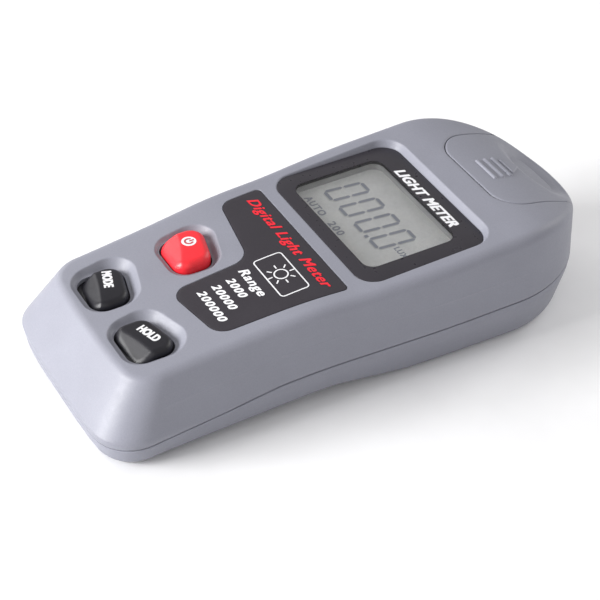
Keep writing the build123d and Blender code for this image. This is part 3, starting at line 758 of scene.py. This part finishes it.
def bay_edge(e):
    """True for an edge round the opening of the bay, apart from its floor."""
    ends = [deck_of(v.co) for v in e.verts]
    for x, y, z in ends:
        if y < BAY_START or z < BAY_FLOOR - 1e-3 or abs(x) > COVER_HALF + COVER_GAP + 1e-3:
            return False
    return not all(abs(z - BAY_FLOOR) < 1e-3 for x, y, z in ends)


bay_edges = [e for e in open_edges if bay_edge(e)]
pull(bm, bay_edges, lambda x, y, z: (x, y, BAY_FLOOR))
well_edges = []
for e in open_edges:
    if e in bay_edges:
        continue
    x, y, z = deck_of(e.verts[0].co)
    if y < BAY_START and z > BAY_FLOOR + 0.5:
        well_edges.append(e)
pull(bm, well_edges, lambda x, y, z: (x, y, WELL_BOTTOM if y < WELLS_END else POCKET_BOTTOM))
settle(front, bm)

# the bay's floor under the sensor, closed at the head's end by the shell's wall
BAY_MIDDLE = 33
b = Build()
end_ring = wall_point(np.full(len(TOP_ENDS), BAY_FLOOR))
end_arc = end_ring[(np.abs(end_ring[:, 0]) < COVER_HALF + COVER_GAP) & (end_ring[:, 1] > 30)][:, :2]
corners = offset_loop(COVER_LOOP, COVER_GAP)
tail_arc = corners[corners[:, 1] < 40]
tail_arc = tail_arc[np.argsort(np.arctan2(tail_arc[:, 0], BAY_MIDDLE - tail_arc[:, 1]))]
floor_loop = np.vstack((tail_arc, end_arc[np.argsort(-end_arc[:, 0])]))
inset_loop = floor_loop + (np.array((0, BAY_MIDDLE)) - floor_loop) * 0.002
b.plate(inset_loop, BAY_FLOOR, grid((-14, 22), (14, 45), 1.5))
bay = b.piece("sensor_bay_floor", case_mat)

cover, bm = skin_piece("sensor_cover_shell", on_cover, cover_mat, 0.0, COVER_BOTTOM, True)
COVER_SKIN, COVER_END = 1.3, 1.5  # thickness of the cover's top and of its end


def cover_inside(x, y, z):
    """Inner edge of the cover's rim: straight down under its top, and inward at its bottom."""
    if z > COVER_BOTTOM + 1.4:
        return x, y, z - COVER_SKIN
    return x * 0.93, y - COVER_END, z


pull(bm, [e for e in bm.edges if e.is_boundary], cover_inside)
settle(cover, bm)

# inner side of the cover, seen once it has slid off
b = Build()
b.surface(
    [offset_loop(COVER_LOOP, -0.3), boundary], grid((-14, 22), (14, 45), 1.2),
    lambda p: face_level(p[:, 1]) - COVER_SKIN - 0.3,
    lambda c: (distance(boundary, c) < 0.2) & (distance(COVER_LOOP, c) < -0.1),
)
lining = b.piece("sensor_cover_lining", cover_mat)
skirts = []
SKIRT_X = (12.7, 13.95, 14.45)  # inner side, outer side and the rail's edge
SKIRT_TOP, SKIRT_FOOT, RAIL_LOW, RAIL_HIGH = -1.6, -7.0, -6.2, -5.4
for side in (-1, 1):
    b = Build()
    x0, x1, x2 = (side * x for x in SKIRT_X)
    profile = [
        (x0, SKIRT_TOP), (x0, SKIRT_FOOT), (x1, SKIRT_FOOT), (x1, RAIL_LOW),
        (x2, RAIL_LOW), (x2, RAIL_HIGH), (x1, RAIL_HIGH), (x1, SKIRT_TOP),
    ]
    ends = []
    for y in (29.0, 30.0, 35.0, 38.8):
        drop = min(0, float(face_level(y)) - 0.4)
        ends.append([(x, y, min(z, drop - 1.2)) for x, z in profile])
    b.rings(ends)
    for end in (ends[0], ends[-1]):
        b.faces.append(tuple(b.points(end)))
    skirts.append(b.piece(f"sensor_cover_skirt_{'left' if side < 0 else 'right'}", cover_mat))

# ---- the rear shell ----
back_edge = where_wall_meets(back_level)
into_back = inward(back_edge)
up_wall = unit(MID_ENDS - LOW_ENDS)
probe = back_edge[:, 1] + into_back[:, 1] * step
across = unit(np.c_[into_back[:, :2] * step, back_level(probe) - back_level(back_edge[:, 1])])
back_arc = rounded_corner(back_edge, up_wall, across, BACK_ROUND, 8)
miss = back_level(back_arc[-1][:, 1]) - back_arc[-1][:, 2]
for i, ring in enumerate(back_arc):
    ring[:, 2] += miss * (i / (len(back_arc) - 1)) ** 2
low_lip = seam_edge[:, 2] - SEAM
rear_rings = [
    wall_ring(low_lip + 1.0, -1.0), wall_ring(low_lip, -1.0), wall_ring(low_lip, -0.22),
    wall_ring(low_lip - 0.05, -0.08), wall_ring(low_lip - 0.2, 0),
]
for t in (0.2, 0.4, 0.6, 0.8):
    rear_rings.append(wall_ring(low_lip - 0.2 + (back_arc[0][:, 2] - low_lip + 0.2) * t))
rear_rings += back_arc
back_boundary = back_arc[-1][:, :2].copy()
door_centre = (0, (DOOR[2] + DOOR[3]) / 2)
door_size = (DOOR[1] - DOOR[0], DOOR[3] - DOOR[2])
DOOR_LOOP = box_loop(door_size, DOOR[4], door_centre)
hole_loops = [box_loop((2 * SINK_R, 2 * SINK_R), SINK_R * 0.99, s) for s in SCREWS]


def back_height(p):
    """Height of the back, with rounded rims at the door's recess and the screw holes."""
    z = back_level(p[:, 1])
    d = distance(DOOR_LOOP, p)
    z += edge_drop(np.clip(d - DOOR_GAP, 0, None), BACK_EDGE) * (d > 0.1)
    for loop in hole_loops:
        z += edge_drop(np.clip(distance(loop, p), 0, None), BACK_EDGE)
    return z


back_loops = [back_boundary] + [offset_loop(DOOR_LOOP, g) for g in (0.2, 0.25, 0.33, 0.45, 0.8)]
for loop in hole_loops:
    back_loops += [loop] + [offset_loop(loop, g) for g in (0.06, 0.14, 0.25)]
back_seeds = within(back_boundary, grid((-26, -76), (26, 46), 1.2), 0.5)


def on_back(c):
    keep = (distance(back_boundary, c) < 0) & (distance(DOOR_LOOP, c) > DOOR_GAP - 1e-3)
    for loop in hole_loops:
        keep &= distance(loop, c) > -1e-3
    return keep


b = Build()
b.rings(rear_rings)
b.surface(back_loops, back_seeds, back_height, on_back)
DOOR_SEAT, BATTERY_TOP = -19.7, -9.1
recess = offset_loop(DOOR_LOOP, DOOR_GAP)
bay_loop = box_loop((33.2, 48.5), 0.6, (0, (-65.2 - 16.7) / 2))
b.rings([np.c_[recess, back_height(recess)], lift(recess, DOOR_SEAT)])
b.plate(recess, DOOR_SEAT, hole=bay_loop)
b.rings([lift(bay_loop, DOOR_SEAT), lift(bay_loop, BATTERY_TOP)])
b.plate(bay_loop, BATTERY_TOP, grid((-16, -65), (16, -17), 4))
for loop, spot in zip(hole_loops, SCREWS):
    b.rings([np.c_[loop, back_height(loop)], lift(loop, SCREW_SEAT)])
    b.cap(lift(loop, SCREW_SEAT))
rear = b.piece("rear_shell", case_mat, weld=4e-6)

# ---- battery door, with finger ribs and a rounded edge ----
RIBS = [-19.2 - 1.5 * i for i in range(4)]
DOOR_INSIDE, CLIP_TOP = -19.9, -18.75


def door_height(p):
    d = distance(DOOR_LOOP, p)
    z = back_level(p[:, 1]) + edge_drop(-d, 0.3)
    well = np.hypot(p[:, 0] / 6.5, (p[:, 1] + 21.5) / 4.2)
    z += 0.5 * np.clip(1.15 - well, 0, 0.35) / 0.35
    for y in RIBS:
        r = np.hypot(np.clip(np.abs(p[:, 0]) - 3.5, 0, None), p[:, 1] - y)
        z -= 0.3 * np.clip(1 - (r / 0.45) ** 2, 0, 1) ** 0.7
    return z


b = Build()
door_loops = [offset_loop(DOOR_LOOP, g) for g in (-0.3, -0.17, -0.08, -0.03)] + [DOOR_LOOP]
door_seeds = (grid((-18, -67), (18, -15), 1.3), grid((-8.5, -26.5), (8.5, -16.5), 0.3))
door_seeds = within(DOOR_LOOP, np.vstack(door_seeds), 0.4)
b.surface(door_loops, door_seeds, door_height, lambda c: distance(DOOR_LOOP, c) < 1e-4)
b.rings([np.c_[DOOR_LOOP, door_height(DOOR_LOOP)], lift(DOOR_LOOP, DOOR_INSIDE)])
b.plate(DOOR_LOOP, DOOR_INSIDE, grid((-17, -66), (17, -16), 5))
clip_loop = box_loop((6.0, 0.6), 0.12, (0, -17.6))
b.rings([lift(clip_loop, DOOR_INSIDE - 0.05), lift(clip_loop, CLIP_TOP)])
b.cap(lift(clip_loop, CLIP_TOP), 0.15)
door = b.piece("battery_door_shell", case_mat)


# ---- keys ----
def key_piece(key, material):
    """A moulded key: crowned top, rounded rim, a facet toward the tail, and its flange."""
    x, y, _, top, _ = KEYS[key]
    loop = KEY_LOOPS[key]
    start, turn, steep, radius = FACETS[key]
    toward_tail = np.array((math.sin(math.radians(turn)), -math.cos(math.radians(turn))))
    flange_top = KEY_FOOT + KEY_FLANGE

    def height(p):
        d = -distance(loop, p)
        crown = top - 0.007 * ((p[:, 0] - x) ** 2 + (p[:, 1] - y) ** 2)
        facet = top - steep * ((p - (x, y - start)) @ toward_tail)
        z = smooth_min(crown, facet, 0.12)
        return np.maximum(z - edge_drop(np.clip(d, 0, None), radius), flange_top + 0.1)

    b = Build()
    inner = [offset_loop(loop, -g) for g in (0.02, 0.06, 0.14, 0.26, 0.45, 0.7, 1.0, radius)]
    seeds = within(loop, grid((x - 6, y - 6), (x + 6, y + 6), 0.35), 0.25)
    b.surface([loop] + inner, seeds, height, lambda c: distance(loop, c) < 1e-4)
    rim = height(loop)
    flange = offset_loop(loop, KEY_FLANGE_REACH)
    b.rings([np.c_[loop, rim], np.c_[loop, (rim + flange_top) / 2], lift(loop, flange_top)])
    b.plate(flange, flange_top, hole=loop)
    b.rings([lift(flange, flange_top), lift(flange, KEY_FOOT)])
    b.plate(flange, KEY_FOOT, grid((x - 6, y - 6), (x + 6, y + 6), 2))
    return b.piece(f"{key}_key_cap", material, sharp=50), height


caps, key_heights = {}, {}
for key in KEYS:
    caps[key], key_heights[key] = key_piece(key, red_mat if key == "power" else black_mat)

# ---- label ----
b = Build()
label_loops = [LABEL_LOOP] + [offset_loop(LABEL_LOOP, -g) for g in (0.05, 0.12)]
label_seeds = within(LABEL_LOOP, grid((-20, -50), (20, -17), 1.2), 0.4)


def label_height(p):
    return face_level(p[:, 1]) - 0.02 - edge_drop(np.clip(-distance(LABEL_LOOP, p), 0, None), 0.1)


b.surface(label_loops, label_seeds, label_height, lambda c: distance(LABEL_LOOP, c) < 1e-4)
label_foot = face_level(LABEL_LOOP[:, 1]) - LABEL_DEPTH
b.rings([np.c_[LABEL_LOOP, label_height(LABEL_LOOP)], np.c_[LABEL_LOOP, label_foot]])
label = b.piece("label_sheet", film_mat)

# ---- window: a clear plate under a printed border, over its tape ----
BEVEL, PLATE_TOP = 0.2, -0.04
view_loop = box_loop(VIEW, VIEW_CORNER, VIEW_CENTRE)
plate_loop = offset_loop(view_loop, 1.6)
b = Build()
b.rings([lift(plate_loop, -WINDOW_THICK), lift(plate_loop, PLATE_TOP)])
for z in (-WINDOW_THICK, PLATE_TOP):
    b.plate(plate_loop, z, grid((-18, -13), (18, 13), 5))
window = b.piece("window_plate", clear_mat)


def border_height(p):
    return -edge_drop(np.clip(-distance(WINDOW_LOOP, p), 0, None), BEVEL)


b = Build()
bevels = [offset_loop(WINDOW_LOOP, -g) for g in (0.03, 0.1, BEVEL)]
b.surface(
    [WINDOW_LOOP, view_loop] + bevels, NO_SEEDS, border_height,
    lambda c: (distance(WINDOW_LOOP, c) < 0) & (distance(view_loop, c) > 0),
)
b.rings([lift(WINDOW_LOOP, border_height(WINDOW_LOOP)), lift(WINDOW_LOOP, -WINDOW_THICK)])
b.rings([lift(view_loop, 0.0), lift(view_loop, -0.03)])
border = b.piece("window_border", mask_mat)
b = Build()
mask_outer = offset_loop(WINDOW_LOOP, -0.06)
MASK_LEVELS = (-WINDOW_THICK - 0.01, -WINDOW_THICK - 0.16)
for z in MASK_LEVELS:
    b.plate(mask_outer, z, hole=view_loop)
b.rings([lift(mask_outer, z) for z in MASK_LEVELS])
b.rings([lift(view_loop, z) for z in MASK_LEVELS])
mask = b.piece("window_mask_sheet", mask_mat)

# ---- display: the panel, the walls round its opening, and the segments ----
LCD_TOP = -2.8
LCD_LEVELS = (LCD_TOP - 2.0, LCD_TOP - 0.05)
b = Build()
lcd_loop = box_loop((37.0, 28.0), 0.5)
b.rings([lift(lcd_loop, z) for z in LCD_LEVELS])
for z in LCD_LEVELS:
    b.plate(lcd_loop, z, grid((-18, -13), (18, 13), 3))
lcd = b.piece("display_panel", lcd_mat)
b = Build()
b.rings([lift(offset_loop(view_loop, 0.06), z) for z in (-WINDOW_THICK - 0.17, LCD_TOP - 0.04)])
surround = b.piece("display_surround", tunnel_mat)


def bar(a, b, width, pointed=True):
    """A segment of a digit, or a ray of the sun, as a six-sided outline."""
    a, b = np.array(a, float), np.array(b, float)
    d = unit(b - a)
    n = np.array((-d[1], d[0])) * width / 2
    h = d * width / 2 if pointed else 0 * d
    return np.array((a, a + h + n, b - h + n, b, b - h - n, a + h - n))


DIGIT_SLANT, SEGMENT_GAP = 0.10, 0.09


def digit(x, y, w, h, width, lit):
    """Segments of a digit whose lower left corner is at x, y."""
    spots = {
        "a": ((0, h), (w, h)), "b": ((w, h), (w, h / 2)), "c": ((w, h / 2), (w, 0)),
        "d": ((0, 0), (w, 0)), "e": ((0, h / 2), (0, 0)), "f": ((0, h), (0, h / 2)),
    }
    made = []
    for name in lit:
        a, c = (np.array(s, float) for s in spots[name])
        d = unit(c - a) * SEGMENT_GAP
        ends = [(x + s[0] + DIGIT_SLANT * s[1], y + s[1]) for s in (a + d, c - d)]
        made.append(bar(*ends, width))
    return made


# ---- lettering: built-in font, laid on a surface ----
def flat_text(text, slant, spacing):
    """Triangles of a line of text with its left end and baseline at zero."""
    curve = bpy.data.curves.new("letters", "FONT")
    curve.body, curve.size, curve.shear, curve.space_character = text, 1.0, slant, spacing
    curve.resolution_u = 4
    source = bpy.data.objects.new("letters", curve)
    bpy.context.scene.collection.objects.link(source)
    bpy.context.view_layer.update()
    mesh = bpy.data.meshes.new_from_object(source)
    bpy.data.objects.remove(source)
    bm = bmesh.new()
    bm.from_mesh(mesh)
    bmesh.ops.triangulate(bm, faces=bm.faces)
    bm.verts.index_update()
    points = np.array([v.co[:2] for v in bm.verts])
    faces = [[v.index for v in f.verts] for f in bm.faces]
    bm.free()
    bpy.data.meshes.remove(mesh)
    return points - (points[:, 0].min(), 0), faces


CAP_HEIGHT = flat_text("H", 0.0, 1.0)[0][:, 1].max()


def lettering(
    name, text, start, width, cap, surface, material, body="case",
    turn=0.0, slant=0.0, bold=(0, 0), spacing=1.0,
):
    """Text laid on a surface from the left end of its baseline, made bolder by shifted layers."""
    flat, faces = flat_text(text, slant, spacing)
    across, high = (width - 2 * bold[0]) / flat[:, 0].max(), (cap - 2 * bold[1]) / CAP_HEIGHT
    flat = flat * (across, high) + bold
    c, s = math.cos(turn), math.sin(turn)
    b = Build()
    layers = [(i, j) for i in (-1, 0, 1) for j in (-1, 0, 1)]
    for i, shift in enumerate(layers):
        p = flat + np.array(shift) * bold
        p = np.c_[p[:, 0] * c - p[:, 1] * s, p[:, 0] * s + p[:, 1] * c] + start
        ids = b.points(np.c_[p, surface(p) + 0.02 + 0.003 * i])
        b.faces += [tuple(ids[f]) for f in faces]
    piece = b.piece(name, material, flat=True)
    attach(piece, body)


def flat_shapes(name, shapes, surface, material, body="case", thick=0.03):
    """Printed outlines laid on a surface."""
    b = Build()
    for shape in shapes:
        ids = b.points(np.c_[shape, surface(np.asarray(shape)) + thick])
        b.faces.append(tuple(ids))
    piece = b.piece(name, material, flat=True)
    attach(piece, body)


def ring_shapes(outer, inner):
    """Quads between two loops of the same length."""
    ends = zip(outer, np.roll(outer, -1, 0), np.roll(inner, -1, 0), inner)
    return [np.array(quad) for quad in ends]


lcd_face = level(LCD_LEVELS[1])
DIGIT_START, DIGIT_STEP, DIGIT_SIZE, DIGIT_FOOT = -13.8, 6.2, (3.5, 8.6), -5.0
segments = []
for i in range(4):
    segments += digit(DIGIT_START + DIGIT_STEP * i, DIGIT_FOOT, *DIGIT_SIZE, 0.8, "abcdef")
segments.append(box_loop((0.9, 0.9), 0.1, (DIGIT_START + 3 * DIGIT_STEP - 1.2, DIGIT_FOOT)))
# painted shadow of the digits on the reflector: lighter grey copies of the segments, shifted
# sideways
flat_shapes("display_shadow", [s + (0.22, -0.3) for s in segments], lcd_face, painted_digit_shadow_mat, thick=0.01)
flat_shapes("display_digits", segments, lcd_face, segment_mat)
for name, words, start, wide, cap, bold, spacing in (
    ("display_auto", "AUTO", (-14.0, -10.0), 7.2, 1.75, (0.09, 0.06), 1.2),
    ("display_range", "200", (-4.1, -10.0), 4.9, 1.75, (0.09, 0.06), 1.2),
    ("display_unit", "LUX", (9.7, -2.2), 3.9, 1.4, (0.08, 0.05), 1.1),
):
    lettering(name, words, start, wide, cap, lcd_face, segment_mat, bold=bold, spacing=spacing)
lettering(
    "title", "LIGHT METER", (-10.6, 10.2), 22.4, 2.35, level(0.0), white_mat,
    slant=0.3, bold=(0.17, 0.11), spacing=1.06,
)


def label_face(p):
    return face_level(p[:, 1])


lettering(
    "label_title", "Digital Light Meter", (-16.3, -22.5), 32.8, 2.3, label_face, red_ink,
    slant=0.35, bold=(0.13, 0.045), spacing=1.14,
)
lettering(
    "label_range", "Range", (2.7, -34.6), 9.2, 2.0, label_face, white_mat,
    slant=0.3, bold=(0.11, 0.05), spacing=1.12,
)
for i, (words, wide) in enumerate((("2000", 6.6), ("20000", 8.5), ("200000", 10.4))):
    lettering(
        f"label_{words}", words, (3.6, -37.9 - 3.25 * i), wide, 1.75, label_face, white_mat,
        slant=0.3, bold=(0.11, 0.07), spacing=1.18,
    )
sun = (8.2, -27.7)
badge = box_loop((12.6, 6.6), 0.9, sun)
shapes = ring_shapes(badge, badge + inward(badge)[:, :2] * 0.28)
angles = np.linspace(0, 2 * math.pi, 40, endpoint=False)
disc = np.c_[np.cos(angles), np.sin(angles)]
shapes += ring_shapes(sun + disc * 1.55, sun + disc * 1.25)
for i in range(8):
    a = i * math.pi / 4
    d = np.array((math.cos(a), math.sin(a)))
    shapes.append(bar(sun + d * 1.95, sun + d * 3.0, 0.3, False))
flat_shapes("label_badge", shapes, label_face, white_mat, thick=0.02)

for key, words, start, turn in (
    ("mode", "MODE", (-13.1, -57.5), -0.32),
    ("hold", "HOLD", (6.4, -59.0), 0.30),
):
    lettering(
        f"{key}_word", words, start, 5.4, 2.0, key_heights[key], white_mat, f"{key}_key",
        turn=turn, bold=(0.15, 0.1), spacing=1.06,
    )
middle = np.array((-9.67, -39.33))
angles = math.pi / 2 + np.linspace(0.66, 2 * math.pi - 0.66, 36)
arc_dir = np.c_[np.cos(angles), np.sin(angles)]
outer, inner = middle + arc_dir * 1.0, middle + arc_dir * 0.62
power_face = key_heights["power"]
flat_shapes("power_mark_disc", [middle + disc * 1.55], power_face, white_mat, "power_key")
shapes = ring_shapes(outer, inner)[:-1]  # open at the top
shapes.append(bar(middle + (0, 0.1), middle + (0, 1.15), 0.36, False))
flat_shapes("power_mark", shapes, power_face, symbol_mat, "power_key", thick=0.05)

# ---- what each piece stands for ----
for piece, body, slot, nodes in (
    (front, "case", "case_plastic", ["front_case"]),
    (bay, "case", "case_plastic", []),
    (rear, "case", "case_plastic", ["rear_case"]),
    (door, "door", "case_plastic", ["battery_door"]),
    (cover, "cover", "cover_plastic", ["sensor_cover"]),
    (lining, "cover", "cover_plastic", []),
    (skirts[0], "cover", "cover_plastic", []),
    (skirts[1], "cover", "cover_plastic", []),
    (caps["power"], "power_key", "red_plastic", ["power_button"]),
    (caps["mode"], "mode_key", "black_plastic", ["mode_button"]),
    (caps["hold"], "hold_key", "black_plastic", ["hold_button"]),
    (label, "case", "label_film", ["range_label"]),
    (window, "case", "clear_plastic", ["display_window"]),
    (border, "case", "black_plastic", []),
    (surround, "case", "frame_plastic", []),
    (mask, "case", "tape", ["window_tape"]),
    (lcd, "case", "display_glass", ["lcd_panel"]),
):
    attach(piece, body)
    if nodes:
        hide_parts(*nodes)

looks = {
    "board_resin": resin_mat, "chip_resin": chip_mat, "bright_steel": steel_mat,
    "copper_wire": copper_mat, "frame_plastic": frame_mat, "switch_plastic": dark_mat,
    "diffuser_plastic": dome_mat, "filter_glass": filter_mat, "cell_jacket": cell_mat,
    "foam": foam_mat, "contact_rubber": rubber_mat, "screw_steel": steel_mat,
    "reflector_foil": steel_mat,
}
slots = {part["node"]: part["material_slot"] for part in frame["record"]["subparts"]}
for name, node in frame["nodes"].items():
    look = looks.get(slots[name])
    if look:
        for i in range(len(node.data.materials)):
            node.data.materials[i] = look

# ---- floor, light and camera ----
floor_mesh = bpy.data.meshes.new("floor")
FLOOR_HALF, FLOOR_DROP = 4, 0.0002
floor_corners = [(i * FLOOR_HALF, j * FLOOR_HALF, -FLOOR_DROP) for i, j in CORNERS]
floor_mesh.from_pydata(floor_corners, [], [(0, 1, 2, 3)])
floor = bpy.data.objects.new("floor", floor_mesh)
bpy.context.scene.collection.objects.link(floor)
paint = node_material("floor_paint", (0.5, 0.6), two((0.93, 0.93, 0.94), 0.005), grain=0.05)
floor_mesh.materials.append(paint)

world = bpy.data.worlds.new("studio")
bpy.context.scene.world = world
world.use_nodes = True
sky = world.node_tree.nodes["Background"]
sky.inputs["Color"].default_value = (1.0, 0.99, 0.985, 1)
sky.inputs["Strength"].default_value = 0.50


def softbox(name, place, size, power):
    """A soft square light aimed at the meter."""
    light = bpy.data.lights.new(name, "AREA")
    light.size, light.energy = size, power
    lamp = bpy.data.objects.new(name, light)
    bpy.context.scene.collection.objects.link(lamp)
    lamp.location = place
    lamp.rotation_mode = "QUATERNION"
    lamp.rotation_quaternion = (-Vector(place)).to_track_quat("-Z", "Y")


softbox("tail_light", (-0.20, -0.90, 0.33), 0.5, 15.6)
softbox("side_light", (0.80, -0.35, 0.55), 0.8, 1.1)
softbox("head_light", (-0.10, 0.90, 0.50), 0.6, 3.2)
softbox("left_light", (-0.87, -0.28, 0.40), 0.55, 1.9)
bpy.context.scene.view_settings.view_transform = "Standard"

# the camera, in the deck's own axes: its angles, then where it stands in millimetres
azimuth, elevation, roll = math.radians(59.99), math.radians(40.15), math.radians(1.03)
level_part, back_z = math.cos(elevation), math.sin(elevation)
back = np.array((math.sin(azimuth) * level_part, -math.cos(azimuth) * level_part, back_z))
right = np.array((math.cos(azimuth), math.sin(azimuth), 0))
up = np.cross(back, right)
c, s = math.cos(roll), math.sin(roll)
right, up = right * c + up * s, up * c - right * s
place = -16.35 * right - 18.48 * up + 375.44 * back
turn = np.array(((1, 0, 0), tuple(DECK_Y), tuple(DECK_Z))).T
camera_data = bpy.data.cameras.new("camera")
camera_data.lens, camera_data.sensor_width = 108.0, 36.0
camera_data.clip_start, camera_data.clip_end = 0.01, 20.0
camera = bpy.data.objects.new("camera", camera_data)
bpy.context.scene.collection.objects.link(camera)
axes = turn @ np.array((right, up, back)).T
spot = row([place])[0]
camera.matrix_world = Matrix([[*axes[i], spot[i]] for i in range(3)] + [[0, 0, 0, 1]])
bpy.context.scene.camera = camera
